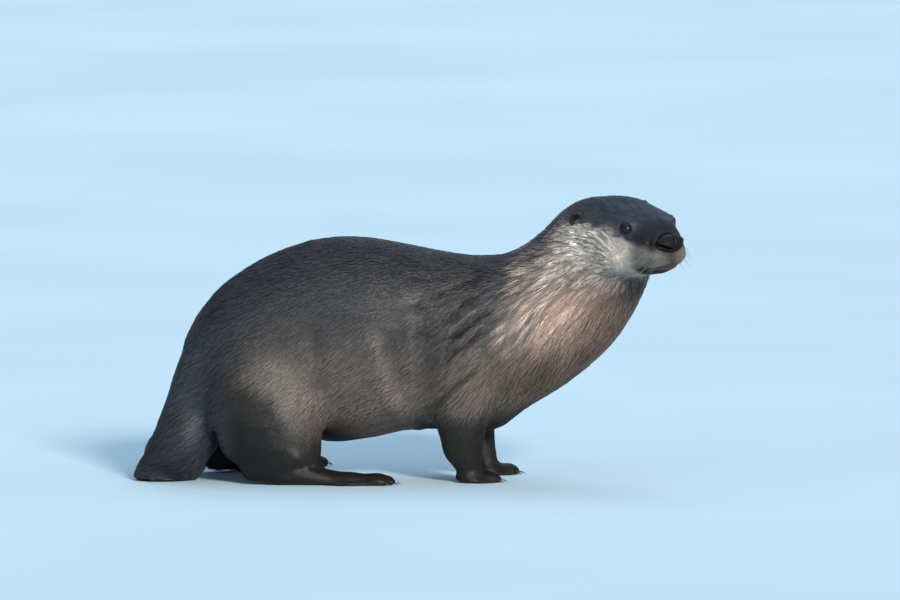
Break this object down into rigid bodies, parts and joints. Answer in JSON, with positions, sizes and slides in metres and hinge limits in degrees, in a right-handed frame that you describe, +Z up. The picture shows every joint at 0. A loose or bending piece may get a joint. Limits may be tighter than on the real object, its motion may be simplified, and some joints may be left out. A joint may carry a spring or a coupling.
{
  "type": "north american river otter, standing",
  "caption": "Life-size river otter standing on all fours with its head turned to its right and its thick tail laid on the floor.",
  "frame": {"origin": "centre of the bounding box's base, on the floor", "axes": "+X from rump towards chest, +Y to the animal's left, +Z up"},
  "size_m": [0.553, 0.3452, 0.2849],
  "materials": {
    "brown_fur": "short dense coat, dark brown, satin where damp",
    "pale_fur": "short dense coat, pale greyish tan",
    "nose_leather": "moist black pebbled skin",
    "eye": "wet, near black",
    "claw_horn": "dark smooth horn"
  },
  "bodies": {
    "root": {"ear_left": "brown_fur", "ear_right": "brown_fur", "eye_left": "eye", "eye_right": "eye", "foreclaw_left_1": "claw_horn", "foreclaw_left_2": "claw_horn", "foreclaw_left_3": "claw_horn", "foreclaw_left_4": "claw_horn", "foreclaw_left_5": "claw_horn", "foreclaw_right_1": "claw_horn", "foreclaw_right_2": "claw_horn", "foreclaw_right_3": "claw_horn", "foreclaw_right_4": "claw_horn", "foreclaw_right_5": "claw_horn", "foreleg_left": "brown_fur", "foreleg_right": "brown_fur", "forepaw_left": "brown_fur", "forepaw_right": "brown_fur", "head": "brown_fur", "hindclaw_left_1": "claw_horn", "hindclaw_left_2": "claw_horn", "hindclaw_left_3": "claw_horn", "hindclaw_left_4": "claw_horn", "hindclaw_left_5": "claw_horn", "hindclaw_right_1": "claw_horn", "hindclaw_right_2": "claw_horn", "hindclaw_right_3": "claw_horn", "hindclaw_right_4": "claw_horn", "hindclaw_right_5": "claw_horn", "hindfoot_left": "brown_fur", "hindfoot_right": "brown_fur", "hindleg_left": "brown_fur", "hindleg_right": "brown_fur", "neck": "pale_fur", "nose_pad": "nose_leather", "tail_middle": "brown_fur", "tail_root": "brown_fur", "tail_tip": "brown_fur", "trunk_belly": "brown_fur", "trunk_chest": "brown_fur", "trunk_hips": "brown_fur"}
  },
  "joints": []
}
